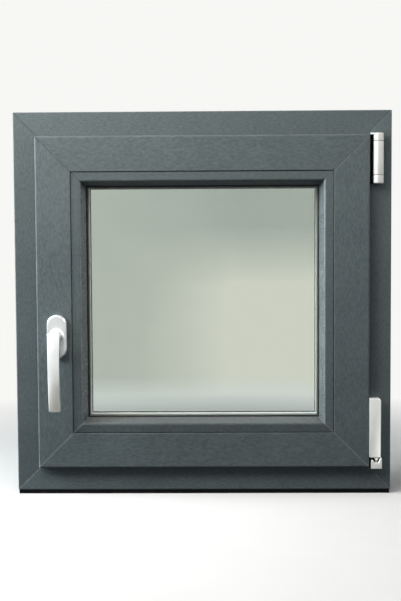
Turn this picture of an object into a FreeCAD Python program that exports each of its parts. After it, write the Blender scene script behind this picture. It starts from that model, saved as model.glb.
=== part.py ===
import FreeCAD, Part
import math
import os

from FreeCAD import Vector

# A small tilt and turn window, closed, seen from the room.
# x runs to the right seen from the room, y runs through the wall towards outdoors, z runs up.
# The origin is in the middle of the underside, on the face that the window stands on.
# Every length is in millimetres and every angle in degrees.

# Outer frame
frame_width = 600.0
frame_height = 606.0
frame_depth = 70.0
frame_leg = 44.0
frame_flange = 67.0
flange_thickness = 22.0
frame_arris = 2.0
frame_corner_radius = 2.0
plastic_edge_radius = 1.0
rebate_shelf = 20.0
rebate_fall = 4.0
flange_bevel_width = 9.0
flange_bevel_depth = 14.0
flange_tip_radius = 2.5
clip_groove_offset = 19.0
clip_groove_mouth = 10.0
clip_groove_width = 15.0
clip_groove_depth = 3.5
clip_lip = 1.5

# Dark strip that the frame stands on
strip_height = 6.0
strip_depth = 68.0
strip_end_inset = 1.5
strip_rib_width = 4.0
strip_rib_gap = 4.0
strip_rib_depth = 1.2

# Sash
side_reveal = 35.6
end_reveal = 38.5
sash_face = 56.0
sash_proud = 14.0
flap_thickness = 11.0
flap_reach = 20.0
flap_radius = 3.0
sash_arris = 0.8
nose_gap = 4.0
nose_depth = 13.0
glazing_lip_depth = 14.0
sash_bevel_width = 15.0
sash_bevel_depth = 10.0
sash_corner_radius = 1.5
sash_lip_radius = 1.5
hardware_groove_setback = 36.0
hardware_groove_mouth = 12.0
hardware_groove_width = 16.0
hardware_groove_lip = 3.0
hardware_groove_depth = 9.0

# Glass unit
glass_rebate = 25.0
glass_clearance = 6.0
pane_thickness = 4.0
cavity = 16.0
glass_setback = 29.0
pane_arris = 0.5
sealant_depth = 11.8
spacer_height = 8.5
block_length = 80.0
block_spacing = 220.0

# Glazing bead
bead_recess = 1.6
bead_face = 15.2
bead_height = 22.0
bead_corner_radius = 4.0
bead_seat_radius = 0.4
bead_joint_gap = 1.0
bead_joint_depth = 4.0
bead_side_depth = 3.5
bead_foot_width = 3.0
bead_foot_depth = 4.0
bead_foot_setback = 8.0
bead_foot_clearance = 0.2

# Seals
glazing_seal = 3.0
seal_lip = 2.5
seal_depth = 9.0
seal_tip_radius = 0.5
overlap_seal_width = 5.0
overlap_seal_setback = 1.6
overlap_seal_bulge = 1.0
overlap_seal_radius = 0.6
stop_seal_gap = 5.0
stop_seal_width = 7.0
stop_seal_foot = 3.6
stop_seal_foot_depth = 4.0
stop_seal_setback = 3.0
stop_seal_radius = 1.5

# Cleaned weld lines across the mitres
weld_width = 2.0
weld_depth = 0.45

# Drainage on the outdoor face of the bottom member
drain_slot_length = 26.0
drain_slot_height = 5.0
drain_slot_spacing = 380.0
drain_slot_level = 18.0
drain_hood_wall = 3.0
drain_hood_depth = 6.0
drain_hood_arris = 1.2
drain_slot_reach = 16.0

# Handle
handle_offset = 32.9
handle_level = 250.9
rosette_width = 31.4
rosette_height = 70.0
rosette_thickness = 11.0
rosette_bevel = 2.2
rosette_wall = 1.8
base_plate_thickness = 4.0
base_plate_clearance = 0.3
screw_hole_radius = 2.6
screw_spacing = 43.0
neck_radius = 8.0
neck_bore_clearance = 0.05
neck_bell_radius = 13.0
neck_bell_height = 15.0
neck_bell_rim = 1.6
neck_bell_gap = 0.4
neck_sink = 5.0
finger_gap = 32.0
lever_width = 19.4
lever_waist = 18.2
lever_end_width = 18.4
lever_above = 10.4
lever_below = 115.8
lever_thickness = 13.0
lever_end_thickness = 10.5
lever_bow = 11.0
lever_bow_level = 0.45
lever_top_radius = 3.6
lever_end_radius = 2.4
lever_edge_radius = 1.2
lever_end_edge_radius = 2.6
lever_back_radius = 2.2
spindle_size = 7.0
spindle_depth = 28.0
spindle_socket = 18.0
spindle_bore_clearance = 1.0

# Upper hinge
hinge_radius = 8.25
hinge_centre = 22.0
hinge_face_gap = 0.5
upper_hinge_rise = 2.0
upper_knuckle = 12.6
middle_knuckle = 53.8
lower_knuckle = 13.2
knuckle_gap = 0.4
knuckle_arris = 0.7
hinge_end_arris = 2.2
hinge_pin_radius = 3.0
arm_thickness = 2.6
arm_width = 9.0
arm_reach = 12.6
arm_overlap = 6.0
bracket_thickness = 2.5
bracket_width = 13.0

# Lower hinge
cover_width = 18.3
cover_height = 95.4
cover_foot = 54.3
cover_depth = 15.5
cover_sash_gap = 0.2
cover_corner_radius = 5.0
cover_edge_radius = 1.2
cover_foot_radius = 2.0
cover_base_radius = 1.0
rest_width = 16.8
rest_height = 17.6
rest_top = 53.9
rest_shift = 3.1
rest_left_drop = 3.4
rest_pivot_offset = 8.7
rest_notch_depth = 7.5
rest_left_mouth = 5.9
rest_left_floor = 3.5
rest_right_mouth = 5.6
rest_right_floor = 2.9
rest_flare = 0.3
rest_edge_radius = 0.5
rest_corner_radius = 0.8
pivot_radius = 4.3
pivot_tip_radius = 0.9
pivot_collar = 0.8

# Depth stations worked out from the sizes above
room_y = -frame_depth / 2
outdoor_y = frame_depth / 2
flange_y = outdoor_y - flange_thickness
sash_room_y = room_y - sash_proud
flap_back_y = sash_room_y + flap_thickness
shoulder_y = flange_y - stop_seal_gap
hardware_groove_y = sash_room_y + hardware_groove_setback
glass_room_y = sash_room_y + glass_setback
inner_pane_y = glass_room_y
cavity_y = inner_pane_y + pane_thickness
outer_pane_y = cavity_y + cavity
glass_outdoor_y = outer_pane_y + pane_thickness
glazing_flange_y = glass_outdoor_y + glazing_seal
# the sash ends outdoors past its nose and past the lip that holds the glass, whichever reaches further
sash_outdoor_y = max(shoulder_y + nose_depth, glazing_flange_y + glazing_lip_depth)
bead_back_y = glass_room_y - glazing_seal
bead_room_y = sash_room_y + bead_recess

# Rectangles of the window's rings, as left, right, bottom and top
sill_z = strip_height
head_z = sill_z + frame_height

margin = 1.0
TOUCH = 1e-4
GRIP_STEPS = 6
END_STEPS = 2
BELL_STEPS = 4


def inset_rectangle(side, end):
    half = frame_width / 2
    return (-half + side, half - side, sill_z + end, head_z - end)


frame_rectangle = inset_rectangle(0, 0)
sash_rectangle = inset_rectangle(side_reveal, end_reveal)
glazing_rectangle = inset_rectangle(side_reveal + sash_face, end_reveal + sash_face)
SIDES = ("left", "right", "bottom", "top")


def unit(vector):
    length = math.hypot(*vector)
    return (vector[0] / length, vector[1] / length)


def corner(before, here, after, radius):
    # the two tangent points and the middle of the arc that rounds one corner of an outline
    one = unit((before[0] - here[0], before[1] - here[1]))
    two = unit((after[0] - here[0], after[1] - here[1]))
    half_angle = math.acos(max(-1.0, min(1.0, one[0] * two[0] + one[1] * two[1]))) / 2
    reach = radius / math.tan(half_angle)
    middle = unit((one[0] + two[0], one[1] + two[1]))
    depth = radius / math.sin(half_angle) - radius
    start = (here[0] + one[0] * reach, here[1] + one[1] * reach)
    end = (here[0] + two[0] * reach, here[1] + two[1] * reach)
    crown = (here[0] + middle[0] * depth, here[1] + middle[1] * depth)
    return start, crown, end


def outline_face(points, place):
    # points are (a, b, radius); place turns (a, b) into a point in space
    edges = []
    starts = []
    ends = []
    arcs = []
    count = len(points)
    for index, (a, b, radius) in enumerate(points):
        before = points[index - 1]
        after = points[(index + 1) % count]
        if radius > 0:
            start, crown, end = corner(before, (a, b), after, radius)
            arcs.append(Part.Arc(place(*start), place(*crown), place(*end)).toShape())
        else:
            start, end = (a, b), (a, b)
            arcs.append(None)
        starts.append(place(*start))
        ends.append(place(*end))
    for index in range(count):
        if arcs[index]:
            edges.append(arcs[index])
        following = starts[(index + 1) % count]
        if ends[index].distanceToPoint(following) > TOUCH:
            edges.append(Part.LineSegment(ends[index], following).toShape())
    return Part.Face(Part.Wire(edges))


def mitred_bar(side, points, rectangle):
    # one straight member of a ring, cut at 45 degrees at both ends
    left, right, bottom, top = rectangle
    low = min(point[0] for point in points)
    high = max(point[0] for point in points)
    upright = side in ("left", "right")
    first, last = (bottom + low, top - low) if upright else (left + low, right - low)
    place = {
        "left": lambda u, y: Vector(left + u, y, first),
        "right": lambda u, y: Vector(right - u, y, first),
        "bottom": lambda u, y: Vector(first, y, bottom + u),
        "top": lambda u, y: Vector(first, y, top - u),
    }[side]
    run = Vector(0, 0, last - first) if upright else Vector(last - first, 0, 0)
    bar = outline_face(points, place).extrude(run)
    near = min(point[1] for point in points) - margin
    far = max(point[1] for point in points) + margin
    wedge_points = {
        "left": ((left + low, bottom + low), (left + high, bottom + high),
                 (left + high, top - high), (left + low, top - low)),
        "right": ((right - low, bottom + low), (right - high, bottom + high),
                  (right - high, top - high), (right - low, top - low)),
        "bottom": ((left + low, bottom + low), (right - low, bottom + low),
                   (right - high, bottom + high), (left + high, bottom + high)),
        "top": ((left + low, top - low), (right - low, top - low),
                (right - high, top - high), (left + high, top - high)),
    }[side]
    corners = [Vector(x, near, z) for x, z in wedge_points]
    wedge = Part.Face(Part.makePolygon(corners + corners[:1])).extrude(Vector(0, far - near, 0))
    return bar.common(wedge).Solids[0]


def mitred_ring(points, rectangle):
    bars = [mitred_bar(side, points, rectangle) for side in SIDES]
    return bars[0].multiFuse(bars[1:]).removeSplitter().Solids[0]


def block(x0, x1, y0, y1, z0, z1):
    return Part.makeBox(x1 - x0, y1 - y0, z1 - z0, Vector(x0, y0, z0))


def cylinder_y(radius, x, z, y0, y1):
    return Part.makeCylinder(radius, y1 - y0, Vector(x, y0, z), Vector(0, 1, 0))


def cylinder_z(radius, x, y, z0, z1):
    return Part.makeCylinder(radius, z1 - z0, Vector(x, y, z0), Vector(0, 0, 1))


def round_ended(x, z, width, height, y0, y1):
    # a plate with two half-round ends, lying or upright
    radius = min(width, height) / 2
    reach = max(width, height) / 2 - radius
    lying = width > height
    along = Vector(1, 0, 0) if lying else Vector(0, 0, 1)
    side = (Vector(0, 0, 1) if lying else Vector(1, 0, 0)) * radius
    one = Vector(x, y0, z) - along * reach
    two = Vector(x, y0, z) + along * reach
    edges = [
        Part.Arc(two - side, two + along * radius, two + side).toShape(),
        Part.LineSegment(two + side, one + side).toShape(),
        Part.Arc(one + side, one - along * radius, one - side).toShape(),
        Part.LineSegment(one - side, two - side).toShape(),
    ]
    return Part.Face(Part.Wire(edges)).extrude(Vector(0, y1 - y0, 0))


def ring_corners(rectangle):
    # the two members that meet at each corner, the corner itself and the directions inwards
    left, right, bottom, top = rectangle
    return [
        (("left", "bottom"), left, bottom, 1, 1), (("right", "bottom"), right, bottom, -1, 1),
        (("right", "top"), right, top, -1, -1), (("left", "top"), left, top, 1, -1),
    ]


def weld_groove(x, z, inward_x, inward_z, start, end, face_y, into):
    # the shallow V that is left where the weld across a mitre is cleaned off
    along = Vector(inward_x, 0, inward_z)
    across = Vector(-inward_z, 0, inward_x).normalize() * weld_width
    origin = Vector(x, face_y, z) + along * (start - margin)
    outside = Vector(0, -into * weld_depth, 0)
    inside = Vector(0, into * weld_depth, 0)
    corners = [origin + outside - across, origin + outside + across, origin + inside]
    triangle = Part.Face(Part.makePolygon(corners + corners[:1]))
    return triangle.extrude(along * (end - start + 2 * margin))


def rounded_off(x, z, inward_x, inward_z, radius, y0, y1):
    # what is taken off an outer corner to round it
    low_x, high_x = sorted((x - inward_x * margin, x + inward_x * radius))
    low_z, high_z = sorted((z - inward_z * margin, z + inward_z * radius))
    square = block(low_x, high_x, y0, y1, low_z, high_z)
    return square.cut(cylinder_y(radius, x + inward_x * radius, z + inward_z * radius, y0, y1))


def finish_corners(kind, rectangle, radius, y0, y1, grooves):
    # round the outer corners of a ring of members and groove their mitres
    for sides, x, z, inward_x, inward_z in ring_corners(rectangle):
        cuts = [rounded_off(x, z, inward_x, inward_z, radius, y0, y1)]
        for start, end, face_y, into in grooves:
            cuts.append(weld_groove(x, z, inward_x, inward_z, start, end, face_y, into))
        for side in sides:
            nodes[kind + side] = nodes[kind + side].cut(cuts).Solids[0]


def clip_groove(centre_y):
    # an undercut groove in the back of the frame, listed towards the room side
    inner = clip_groove_width / 2
    mouth = clip_groove_mouth / 2
    return [
        (0, centre_y + mouth, 0), (clip_lip, centre_y + mouth, 0),
        (clip_lip, centre_y + inner, 0), (clip_groove_depth, centre_y + inner, 0),
        (clip_groove_depth, centre_y - inner, 0), (clip_lip, centre_y - inner, 0),
        (clip_lip, centre_y - mouth, 0), (0, centre_y - mouth, 0),
    ]


def seal_foot_span():
    # the stop seal sits near the tip of the frame's flange
    high = frame_flange - stop_seal_setback
    middle = high - stop_seal_width / 2
    return middle - stop_seal_foot / 2, middle + stop_seal_foot / 2


def frame_outline():
    foot_low, foot_high = seal_foot_span()
    groove_end = flange_y + stop_seal_foot_depth
    points = [
        (0, room_y, frame_arris),
        (frame_leg, room_y, frame_arris),
        (frame_leg, room_y + rebate_shelf, 0),
        (frame_leg - rebate_fall, flange_y, frame_arris),
        (foot_low, flange_y, 0), (foot_low, groove_end, 0),
        (foot_high, groove_end, 0), (foot_high, flange_y, 0),
        (frame_flange, flange_y, plastic_edge_radius),
        (frame_flange, outdoor_y - flange_bevel_depth, flange_tip_radius),
        (frame_flange - flange_bevel_width, outdoor_y, flange_tip_radius),
        (0, outdoor_y, frame_arris),
    ]
    return points + clip_groove(clip_groove_offset) + clip_groove(-clip_groove_offset)


def hardware_groove():
    # the groove round the sash edge that carries the locking gear, listed towards the room
    floor = flap_reach + hardware_groove_depth
    lip = flap_reach + hardware_groove_lip
    mouth = hardware_groove_mouth / 2
    inner = hardware_groove_width / 2
    middle = hardware_groove_y
    return [
        (flap_reach, middle + mouth, 0), (lip, middle + mouth, 0),
        (lip, middle + inner, 0), (floor, middle + inner, 0),
        (floor, middle - inner, 0), (lip, middle - inner, 0),
        (lip, middle - mouth, 0), (flap_reach, middle - mouth, 0),
    ]


def bead_foot_span(clearance):
    start = bead_room_y + bead_foot_setback
    return start - clearance, start + bead_foot_width + clearance


def sash_outline():
    nose = frame_flange + nose_gap - side_reveal
    lip = sash_face + glass_rebate
    groove_low, groove_high = bead_foot_span(bead_foot_clearance)
    groove_floor = sash_face - bead_foot_depth - bead_foot_clearance
    points = [
        (0, sash_room_y, flap_radius),
        (sash_face, sash_room_y, sash_arris),
        (sash_face, groove_low, 0), (groove_floor, groove_low, 0),
        (groove_floor, groove_high, 0), (sash_face, groove_high, 0),
        (sash_face, glazing_flange_y, 0),
        (lip, glazing_flange_y, plastic_edge_radius),
        (lip, sash_outdoor_y - sash_bevel_depth, sash_lip_radius),
        (lip - sash_bevel_width, sash_outdoor_y, flange_tip_radius),
        (nose, sash_outdoor_y, frame_arris),
        (nose, shoulder_y, 0),
        (flap_reach, shoulder_y, plastic_edge_radius),
    ]
    flap_back = [(flap_reach, flap_back_y, plastic_edge_radius), (0, flap_back_y, plastic_edge_radius)]
    return points + hardware_groove() + flap_back


def bead_outline():
    foot_low, foot_high = bead_foot_span(0)
    return [
        (0, bead_room_y + bead_joint_depth, 0),
        (bead_joint_gap, bead_room_y + bead_joint_depth, 0),
        (bead_joint_gap, bead_room_y, bead_seat_radius),
        (bead_face, bead_room_y, bead_corner_radius),
        (bead_height, bead_back_y - bead_side_depth, plastic_edge_radius),
        (bead_height, bead_back_y, 0),
        (0, bead_back_y, 0),
        (0, foot_high, 0), (-bead_foot_depth, foot_high, 0),
        (-bead_foot_depth, foot_low, 0), (0, foot_low, 0),
    ]


def glazing_seal_outline(tip, hard_y, glass_y):
    # a wedge between the glass and the bead or flange, with a lip past its edge
    return [
        (tip - seal_depth, hard_y, 0), (tip, hard_y, 0),
        (tip + seal_lip, (hard_y + glass_y) / 2, seal_tip_radius),
        (tip + seal_lip, glass_y, 0), (tip - seal_depth, glass_y, 0),
    ]


def overlap_seal_outline():
    start = overlap_seal_setback
    end = start + overlap_seal_width
    middle_y = (flap_back_y + room_y) / 2
    return [
        (start, flap_back_y, 0), (start - overlap_seal_bulge, middle_y, overlap_seal_radius),
        (start, room_y, 0), (end, room_y, 0),
        (end + overlap_seal_bulge, middle_y, overlap_seal_radius), (end, flap_back_y, 0),
    ]


def stop_seal_outline():
    foot_low, foot_high = seal_foot_span()
    high = frame_flange - stop_seal_setback
    low = high - stop_seal_width
    foot_end = flange_y + stop_seal_foot_depth
    return [
        (low, flange_y, 0), (low, shoulder_y, stop_seal_radius),
        (high, shoulder_y, stop_seal_radius), (high, flange_y, 0),
        (foot_high, flange_y, 0), (foot_high, foot_end, 0),
        (foot_low, foot_end, 0), (foot_low, flange_y, 0),
    ]


def front_edges(shape, y):
    return [edge for edge in shape.Edges
            if abs(edge.BoundBox.YMin - y) < TOUCH and abs(edge.BoundBox.YMax - y) < TOUCH]


nodes = {}


def make_frame():
    for side in SIDES:
        nodes["frame_" + side] = mitred_bar(side, frame_outline(), frame_rectangle)
    grooves = [(0, frame_leg, room_y, 1), (0, frame_flange - flange_bevel_width, outdoor_y, -1)]
    finish_corners("frame_", frame_rectangle, frame_corner_radius,
                   room_y - margin, outdoor_y + margin, grooves)


def drain_slots(grow, y0, y1):
    # two long slots with round ends, side by side in the bottom member
    return [
        round_ended(x, sill_z + drain_slot_level, drain_slot_length + 2 * grow,
                    drain_slot_height + 2 * grow, y0, y1)
        for x in (-drain_slot_spacing / 2, drain_slot_spacing / 2)
    ]


def make_drainage():
    nodes["frame_bottom"] = nodes["frame_bottom"].cut(
        drain_slots(0, outdoor_y - drain_slot_reach, outdoor_y + margin))
    hoods = []
    outer = drain_slots(drain_hood_wall, outdoor_y, outdoor_y + drain_hood_depth)
    inner = drain_slots(0, outdoor_y, outdoor_y + drain_hood_depth - drain_hood_wall)
    for shell, hollow in zip(outer, inner):
        shell = shell.makeChamfer(drain_hood_arris, front_edges(shell, outdoor_y + drain_hood_depth))
        middle = shell.BoundBox.Center.x
        mouth = block(middle - drain_slot_length / 2, middle + drain_slot_length / 2,
                      outdoor_y, outdoor_y + drain_hood_depth - drain_hood_wall,
                      sill_z, sill_z + drain_slot_level)
        hoods.append(shell.cut([hollow, mouth]).Solids[0])
    nodes["drain_caps"] = Part.makeCompound(hoods)


def make_strip():
    half = frame_width / 2 - strip_end_inset
    strip = block(-half, half, -strip_depth / 2, strip_depth / 2, 0, strip_height)
    pitch = strip_rib_width + strip_rib_gap
    for index in range(int((strip_depth / 2 - strip_rib_width) / pitch)):
        for side in (-1, 1):
            y = side * (index + 0.5) * pitch
            groove = block(-half, half, y - strip_rib_gap / 2, y + strip_rib_gap / 2,
                           0, strip_rib_depth)
            strip = strip.cut(groove)
    nodes["base_strip"] = strip


def make_sash():
    for side in SIDES:
        nodes["sash_" + side] = mitred_bar(side, sash_outline(), sash_rectangle)
    nose = frame_flange + nose_gap - side_reveal
    grooves = [(0, sash_face, sash_room_y, 1),
               (nose, sash_face + glass_rebate - sash_bevel_width, sash_outdoor_y, -1)]
    finish_corners("sash_", sash_rectangle, sash_corner_radius,
                   sash_room_y - margin, flap_back_y, grooves)
    for side in SIDES:
        nodes["bead_" + side] = mitred_bar(side, bead_outline(), glazing_rectangle)


def pane(y0):
    left, right, bottom, top = glazing_rectangle
    gap = glass_clearance
    sheet = block(left + gap, right - gap, y0, y0 + pane_thickness, bottom + gap, top - gap)
    return sheet.makeChamfer(pane_arris, sheet.Edges)


def box_ring(u0, u1, y0, y1):
    points = [(u0, y0, 0), (u1, y0, 0), (u1, y1, 0), (u0, y1, 0)]
    return mitred_ring(points, glazing_rectangle)


def make_glass():
    nodes["inner_pane"] = pane(inner_pane_y)
    nodes["outer_pane"] = pane(outer_pane_y)
    edge = glass_clearance + pane_arris
    seat = glass_clearance + sealant_depth
    nodes["edge_sealant"] = box_ring(edge, seat, cavity_y, outer_pane_y)
    nodes["spacer_bar"] = box_ring(seat, seat + spacer_height, cavity_y, outer_pane_y)
    left, right, bottom, top = glazing_rectangle
    pads = []
    for x in (-block_spacing / 2, block_spacing / 2):
        for z in (bottom, top - glass_clearance):
            pads.append(block(x - block_length / 2, x + block_length / 2,
                              inner_pane_y, glass_outdoor_y, z, z + glass_clearance))
    middle = (bottom + top) / 2
    for x in (left, right - glass_clearance):
        pads.append(block(x, x + glass_clearance, inner_pane_y, glass_outdoor_y,
                          middle - block_length / 2, middle + block_length / 2))
    nodes["glazing_blocks"] = Part.makeCompound(pads)


def make_seals():
    inner = glazing_seal_outline(bead_height, bead_back_y, glass_room_y)
    outer = glazing_seal_outline(glass_rebate, glazing_flange_y, glass_outdoor_y)
    nodes["bead_seal"] = mitred_ring(inner, glazing_rectangle)
    nodes["outdoor_glazing_seal"] = mitred_ring(outer, glazing_rectangle)
    nodes["overlap_seal"] = mitred_ring(overlap_seal_outline(), sash_rectangle)
    nodes["stop_seal"] = mitred_ring(stop_seal_outline(), frame_rectangle)


handle_x = -frame_width / 2 + side_reveal + handle_offset
handle_z = sill_z + handle_level
rosette_y = sash_room_y - rosette_thickness
grip_back_y = rosette_y - finger_gap
grip_front_y = grip_back_y - lever_thickness


def make_rosette():
    cover = round_ended(handle_x, handle_z, rosette_width, rosette_height, rosette_y, sash_room_y)
    cover = cover.makeChamfer(rosette_bevel, front_edges(cover, rosette_y))
    thin = 2 * rosette_wall
    back_y = sash_room_y - base_plate_thickness
    hollow = round_ended(handle_x, handle_z, rosette_width - thin, rosette_height - thin,
                         back_y, sash_room_y)
    bore = cylinder_y(neck_radius + neck_bore_clearance, handle_x, handle_z, rosette_y, sash_room_y)
    nodes["handle_rosette"] = cover.cut([hollow, bore])
    thin = 2 * (rosette_wall + base_plate_clearance)
    plate = round_ended(handle_x, handle_z, rosette_width - thin, rosette_height - thin,
                        back_y, sash_room_y)
    holes = [cylinder_y(screw_hole_radius, handle_x, z, back_y, sash_room_y)
             for z in (handle_z - screw_spacing / 2, handle_z + screw_spacing / 2)]
    nodes["handle_base_plate"] = plate.cut(holes + [bore])


def make_spindle():
    half = spindle_size / 2
    tail = sash_room_y + spindle_depth
    spindle = block(handle_x - half, handle_x + half, rosette_y - spindle_socket, tail,
                    handle_z - half, handle_z + half)
    nodes["handle_spindle"] = spindle
    bore = cylinder_y(spindle_size / math.sqrt(2) + spindle_bore_clearance, handle_x, handle_z,
                      sash_room_y, tail + spindle_bore_clearance)
    nodes["sash_left"] = nodes["sash_left"].cut(bore)


def bow(share):
    # how far the front of the grip falls back from its foremost level, from top to end
    return lever_bow * ((share - lever_bow_level) / (1 - lever_bow_level)) ** 2


def grip_half_width(share):
    # wide at the top, waisted half way, a little wider again at the end
    at_top = lever_width / 2 * (1 - share) * (1 - 2 * share)
    at_waist = lever_waist * 2 * share * (1 - share)
    at_end = lever_end_width / 2 * share * (2 * share - 1)
    return at_top + at_waist + at_end


def grip_section(z, inset):
    # a level section of the grip: a rectangle with small front and larger back corners
    share = (handle_z + lever_above - z) / (lever_above + lever_below)
    half = grip_half_width(share) - inset
    front = grip_front_y + bow(share) + inset
    back = front - 2 * inset + lever_thickness + (lever_end_thickness - lever_thickness) * share
    front_radius = lever_edge_radius + (lever_end_edge_radius - lever_edge_radius) * share
    points = [
        (handle_x - half, front, front_radius), (handle_x + half, front, front_radius),
        (handle_x + half, back, lever_back_radius), (handle_x - half, back, lever_back_radius),
    ]
    return outline_face(points, lambda a, b: Vector(a, b, z)).OuterWire


def grip():
    # the sections are joined from the rounded top down the bowed length to the rounded end
    top = handle_z + lever_above
    end = handle_z - lever_below
    turns = [math.pi / 2 * step / END_STEPS for step in range(END_STEPS + 1)]
    sections = []
    for turn in reversed(turns):
        sections.append(grip_section(top - lever_top_radius * (1 - math.sin(turn)),
                                     lever_top_radius * (1 - math.cos(turn))))
    for step in range(1, GRIP_STEPS):
        sections.append(grip_section(top - (top - end) * step / GRIP_STEPS, 0))
    for turn in turns:
        sections.append(grip_section(end + lever_end_radius * (1 - math.sin(turn)),
                                     lever_end_radius * (1 - math.cos(turn))))
    return Part.makeLoft(sections, True, True)


def turned(profile, x, y, z, axis):
    # a solid turned about an axis through a point; the profile is (radius, height) pairs
    across = Vector(1, 0, 0)
    corners = [Vector(x, y, z) + across * radius + axis * height for radius, height in profile]
    face = Part.Face(Part.makePolygon(corners + corners[:1]))
    return face.revolve(Vector(x, y, z), axis, 360)


def neck_bell():
    # the round foot of the neck, flaring from the grip down to its rim over the rosette
    low = neck_bell_gap
    steps = []
    for step in range(BELL_STEPS + 1):
        turn = math.pi / 2 * step / BELL_STEPS
        spread = neck_bell_radius - neck_radius
        rise = neck_bell_height - neck_bell_rim
        steps.append((neck_bell_radius - spread * math.sin(turn),
                      low + neck_bell_rim + rise * (1 - math.cos(turn))))
    profile = [(0, low), (neck_bell_radius, low)] + steps + [(0, steps[-1][1])]
    return turned(profile, handle_x, rosette_y, handle_z, Vector(0, -1, 0))


def make_lever():
    neck = cylinder_y(neck_radius, handle_x, handle_z, grip_back_y - neck_sink,
                      sash_room_y - base_plate_thickness)
    lever = grip().multiFuse([neck, neck_bell()])
    half_spindle = spindle_size / 2
    socket = block(handle_x - half_spindle, handle_x + half_spindle,
                   rosette_y - spindle_socket, sash_room_y,
                   handle_z - half_spindle, handle_z + half_spindle)
    nodes["handle_lever"] = lever.cut(socket).Solids[0]


hinge_x = frame_width / 2 - hinge_centre
hinge_y = room_y - hinge_radius - hinge_face_gap


def knuckle(z0, z1, low_arris, high_arris):
    # one turned barrel of the hinge, with its rims broken and a hole for the pin
    profile = [
        (hinge_pin_radius, 0), (hinge_radius - low_arris, 0), (hinge_radius, low_arris),
        (hinge_radius, z1 - z0 - high_arris), (hinge_radius - high_arris, z1 - z0),
        (hinge_pin_radius, z1 - z0),
    ]
    return turned(profile, hinge_x, hinge_y, z0, Vector(0, 0, 1))


def make_upper_hinge():
    top = sash_rectangle[3] + upper_hinge_rise
    upper_foot = top - upper_knuckle
    middle_foot = upper_foot - middle_knuckle
    bottom = middle_foot - lower_knuckle
    plate = block(sash_rectangle[1] + cover_sash_gap, hinge_x + bracket_width / 2,
                  room_y - bracket_thickness, room_y, bottom, top)
    clear = cylinder_z(hinge_radius, hinge_x, hinge_y, bottom, top)
    nodes["upper_hinge_bracket"] = plate.cut(clear).Solids[0]
    nodes["upper_hinge_cap"] = knuckle(upper_foot + knuckle_gap, top, knuckle_arris, hinge_end_arris)
    nodes["upper_hinge_sleeve"] = knuckle(middle_foot + knuckle_gap, upper_foot,
                                          knuckle_arris, knuckle_arris)
    nodes["upper_hinge_foot"] = knuckle(bottom, middle_foot, hinge_end_arris, knuckle_arris)
    nodes["upper_hinge_pin"] = cylinder_z(hinge_pin_radius, hinge_x, hinge_y, bottom, top)
    arm = block(hinge_x - arm_reach, hinge_x - hinge_radius + arm_overlap,
                hinge_y - arm_width / 2, room_y, top - arm_thickness, top)
    nodes["stay_arm_end"] = arm.cut([clear, plate]).Solids[0]


def front_rounded(shape, radius, y):
    return shape.makeFillet(radius, front_edges(shape, y))


def make_lower_hinge():
    left = sash_rectangle[1] + cover_sash_gap
    right = left + cover_width
    foot = sill_z + cover_foot
    top = foot + cover_height
    front = room_y - cover_depth
    points = [(left, foot, cover_foot_radius), (right, foot, cover_base_radius),
              (right, top, cover_corner_radius), (left, top, cover_base_radius)]
    cover = outline_face(points, lambda a, b: Vector(a, front, b)).extrude(Vector(0, cover_depth, 0))
    nodes["lower_hinge_cover"] = front_rounded(cover, cover_edge_radius, front)
    rest_left = left + rest_shift
    rest_right = rest_left + rest_width
    rest_high = sill_z + rest_top
    rest_low = rest_high - rest_height
    left_high = rest_high - rest_left_drop
    pivot_x = rest_left + rest_pivot_offset
    notch_low = rest_high - rest_notch_depth
    rest_points = [
        (rest_left - rest_flare, rest_low, rest_corner_radius),
        (rest_right + rest_flare, rest_low, rest_corner_radius),
        (rest_right, rest_high, rest_corner_radius),
        (pivot_x + rest_right_mouth, rest_high, rest_corner_radius),
        (pivot_x + rest_right_floor, notch_low, rest_corner_radius),
        (pivot_x - rest_left_floor, notch_low, rest_corner_radius),
        (pivot_x - rest_left_mouth, left_high, rest_corner_radius),
        (rest_left, left_high, rest_corner_radius),
    ]
    rest = outline_face(rest_points, lambda a, b: Vector(a, front, b))
    rest = rest.extrude(Vector(0, cover_depth - bracket_thickness, 0))
    nodes["pivot_rest"] = rest.makeChamfer(rest_edge_radius, front_edges(rest, front))
    nodes["lower_hinge_plate"] = block(left, rest_right, room_y - bracket_thickness, room_y,
                                       rest_low, foot)
    height = foot - notch_low
    profile = [(0, 0), (pivot_tip_radius, 0), (pivot_radius, height - pivot_collar),
               (pivot_radius, height), (0, height)]
    nodes["lower_hinge_pivot"] = turned(profile, pivot_x, (front + room_y) / 2, notch_low,
                                        Vector(0, 0, 1))


make_frame()
make_drainage()
make_strip()
make_sash()
make_glass()
make_seals()
make_rosette()
make_spindle()
make_lever()
make_upper_hinge()
make_lower_hinge()

os.makedirs("parts", exist_ok=True)
for name, shape in nodes.items():
    shape.exportStep("parts/" + name + ".step")
    print(name, "solids", len(shape.Solids), "volume", round(shape.Volume), "valid", shape.isValid())
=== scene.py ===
# %% [markdown]
# # A tilt and turn window, dressed for its picture
# The window stands closed on a dark strip and is seen from the room. Its solids come from the packed
# model: straight, mitred members whose shape is already right. This lesson gives them their finishes,
# and builds again in finer form the few pieces that catch the light: handle, rosette and hinges.
# Every length is in metres, in the frame of the solids: x to the right, y outdoors, z up.

# %% Load the solids
import math

import bmesh
import bpy
from mathutils import Matrix, Vector


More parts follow.
